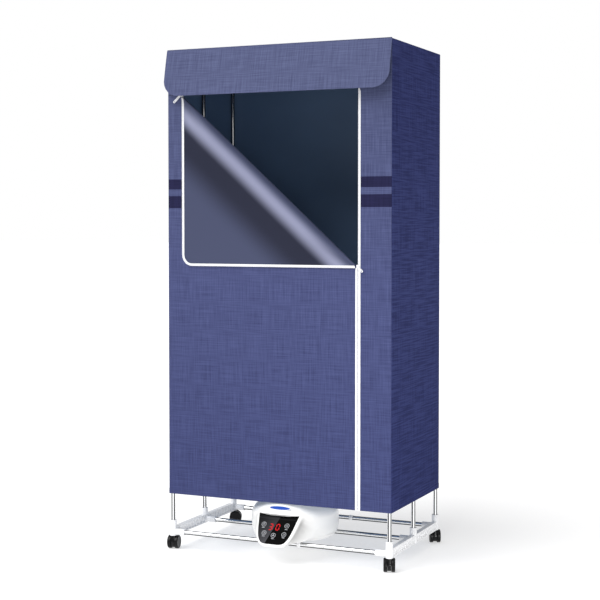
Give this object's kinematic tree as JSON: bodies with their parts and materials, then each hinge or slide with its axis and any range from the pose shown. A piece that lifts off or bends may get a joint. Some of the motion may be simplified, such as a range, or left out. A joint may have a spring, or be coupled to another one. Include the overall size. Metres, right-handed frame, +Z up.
{
  "type": "drying cabinet",
  "caption": "Free-standing clothes-drying cabinet: a zipped cloth cover over a chromed tube frame on swivel casters, with a warm-air unit and touch panel underneath.",
  "frame": {"origin": "on the floor, in the middle of the four corner posts", "axes": "+X to the viewer's right when facing the door, +Y to the back, +Z up"},
  "size_m": [0.738, 0.5092, 1.5012],
  "materials": {
    "frame_plastic": "satin white moulding with ribbed sides",
    "chrome_tube": "polished",
    "cover_cloth": "blue linen-weave cloth",
    "cover_cloth_side": "blue linen-weave cloth",
    "cloth_lining": "grey-blue coated lining",
    "zip_tape": "white woven tape with moulded teeth",
    "zip_slider": "white enamel",
    "heater_plastic": "glossy white",
    "touch_glass": "black back-printed glass",
    "circuit_board": "green board",
    "duct_plastic": "dark heat-proof plastic",
    "element_metal": "finned",
    "motor_case": "grey",
    "fan_plastic": "moulded",
    "inlet_plastic": "black",
    "screw_steel": "plated",
    "caster_plastic": "black nylon",
    "wheel_plastic": "black nylon"
  },
  "bodies": {
    "cabinet": {"base_rail_left": "frame_plastic", "base_rail_right": "frame_plastic", "base_bar_front": "chrome_tube", "base_bar_middle": "chrome_tube", "base_bar_back": "chrome_tube", "base_bar_joiners": "frame_plastic", "post_front_left": "chrome_tube", "post_front_right": "chrome_tube", "post_middle_left": "chrome_tube", "post_middle_right": "chrome_tube", "post_back_left": "chrome_tube", "post_back_right": "chrome_tube", "middle_bracket_left": "frame_plastic", "middle_bracket_right": "frame_plastic", "middle_bars": "chrome_tube", "top_bracket_left": "frame_plastic", "top_bracket_right": "frame_plastic", "top_bars": "chrome_tube", "hanging_rail": "chrome_tube", "cover_left": "cover_cloth_side", "cover_right": "cover_cloth_side", "cover_back": "cover_cloth", "cover_roof": "cover_cloth", "floor_cloth": "cloth_lining", "front_header": "cover_cloth", "front_strip_right": "cover_cloth", "door_panel": "cover_cloth", "zip_tape_frame": "zip_tape", "zip_tape_door": "zip_tape", "heater_base_shell": "heater_plastic", "heater_top_shell": "heater_plastic", "touch_glass": "touch_glass", "display_board": "circuit_board", "control_board": "circuit_board", "outlet_grille": "heater_plastic", "air_duct": "duct_plastic", "heating_element": "element_metal", "fan_motor": "motor_case", "power_inlet": "inlet_plastic", "heater_screws": "screw_steel"},
    "valance": {"valance": "cover_cloth"},
    "door_flap": {"door_flap": "cloth_lining", "zip_tape_flap": "zip_tape"},
    "slider_top": {"slider_top": "zip_slider"},
    "slider_side": {"slider_side": "zip_slider"},
    "pull_tab_top": {"pull_tab_top": "zip_slider"},
    "pull_tab_side": {"pull_tab_side": "zip_slider"},
    "fan_impeller": {"fan_impeller": "fan_plastic"},
    "caster_hood_front_left": {"caster_hood_front_left": "caster_plastic"},
    "wheel_front_left_outer": {"wheel_front_left_outer": "wheel_plastic"},
    "wheel_front_left_inner": {"wheel_front_left_inner": "wheel_plastic"},
    "caster_hood_front_right": {"caster_hood_front_right": "caster_plastic"},
    "wheel_front_right_outer": {"wheel_front_right_outer": "wheel_plastic"},
    "wheel_front_right_inner": {"wheel_front_right_inner": "wheel_plastic"},
    "caster_hood_back_left": {"caster_hood_back_left": "caster_plastic"},
    "wheel_back_left_outer": {"wheel_back_left_outer": "wheel_plastic"},
    "wheel_back_left_inner": {"wheel_back_left_inner": "wheel_plastic"},
    "caster_hood_back_right": {"caster_hood_back_right": "caster_plastic"},
    "wheel_back_right_outer": {"wheel_back_right_outer": "wheel_plastic"},
    "wheel_back_right_inner": {"wheel_back_right_inner": "wheel_plastic"}
  },
  "joints": [
    {"name": "valance_hinge", "type": "hinge", "parent": "cabinet", "child": "valance", "pos_m": [0, -0.2102, 1.5], "axis": [-1, 0, 0], "range_deg": [0, 225]},
    {"name": "door_fold", "type": "hinge", "parent": "cabinet", "child": "door_flap", "pos_m": [-0.3068, -0.211, 1.366], "axis": [-0.7463, 0, 0.6656], "range_deg": [0, 90]},
    {"name": "side_zip", "type": "slide", "parent": "cabinet", "child": "slider_side", "axis": [0, 0, 1], "range_m": [-0.68, 0.474]},
    {"name": "top_zip", "type": "slide", "parent": "cabinet", "child": "slider_top", "axis": [1, 0, 0], "range_m": [0, 0.5]},
    {"name": "side_tab_swing", "type": "hinge", "parent": "slider_side", "child": "pull_tab_side", "pos_m": [0.256, -0.2125, 0.861], "axis": [-0.6691, 0, -0.7431], "range_deg": [0, 150]},
    {"name": "top_tab_swing", "type": "hinge", "parent": "slider_top", "child": "pull_tab_top", "pos_m": [-0.312, -0.2125, 1.366], "axis": [-0.682, 0, 0.7314], "range_deg": [0, 55]},
    {"name": "fan_spin", "type": "hinge", "parent": "cabinet", "child": "fan_impeller", "pos_m": [0.016, -0.108, 0.1], "axis": [0, 0, 1], "continuous": true},
    {"name": "caster_front_left_swivel", "type": "hinge", "parent": "cabinet", "child": "caster_hood_front_left", "pos_m": [-0.3488, -0.1998, 0.041], "axis": [0, 0, 1], "continuous": true},
    {"name": "wheel_front_left_outer_roll", "type": "hinge", "parent": "caster_hood_front_left", "child": "wheel_front_left_outer", "pos_m": [-0.35002, -0.19291, 0.02], "axis": [0.9848, 0.1736, 0], "continuous": true},
    {"name": "wheel_front_left_inner_roll", "type": "hinge", "parent": "caster_hood_front_left", "child": "wheel_front_left_inner", "pos_m": [-0.35002, -0.19291, 0.02], "axis": [0.9848, 0.1736, 0], "continuous": true},
    {"name": "caster_front_right_swivel", "type": "hinge", "parent": "cabinet", "child": "caster_hood_front_right", "pos_m": [0.3488, -0.1998, 0.041], "axis": [0, 0, 1], "continuous": true},
    {"name": "wheel_front_right_outer_roll", "type": "hinge", "parent": "caster_hood_front_right", "child": "wheel_front_right_outer", "pos_m": [0.34641, -0.19322, 0.02], "axis": [0.9397, 0.342, 0], "continuous": true},
    {"name": "wheel_front_right_inner_roll", "type": "hinge", "parent": "caster_hood_front_right", "child": "wheel_front_right_inner", "pos_m": [0.34641, -0.19322, 0.02], "axis": [0.9397, 0.342, 0], "continuous": true},
    {"name": "caster_back_left_swivel", "type": "hinge", "parent": "cabinet", "child": "caster_hood_back_left", "pos_m": [-0.3488, 0.1998, 0.041], "axis": [0, 0, 1], "continuous": true},
    {"name": "wheel_back_left_outer_roll", "type": "hinge", "parent": "caster_hood_back_left", "child": "wheel_back_left_outer", "pos_m": [-0.34246, 0.20276, 0.02], "axis": [0.4226, -0.9063, 0], "continuous": true},
    {"name": "wheel_back_left_inner_roll", "type": "hinge", "parent": "caster_hood_back_left", "child": "wheel_back_left_inner", "pos_m": [-0.34246, 0.20276, 0.02], "axis": [0.4226, -0.9063, 0], "continuous": true},
    {"name": "caster_back_right_swivel", "type": "hinge", "parent": "cabinet", "child": "caster_hood_back_right", "pos_m": [0.3488, 0.1998, 0.041], "axis": [0, 0, 1], "continuous": true},
    {"name": "wheel_back_right_outer_roll", "type": "hinge", "parent": "caster_hood_back_right", "child": "wheel_back_right_outer", "pos_m": [0.34584, 0.20614, 0.02], "axis": [0.9063, 0.4226, 0], "continuous": true},
    {"name": "wheel_back_right_inner_roll", "type": "hinge", "parent": "caster_hood_back_right", "child": "wheel_back_right_inner", "pos_m": [0.34584, 0.20614, 0.02], "axis": [0.9063, 0.4226, 0], "continuous": true}
  ]
}
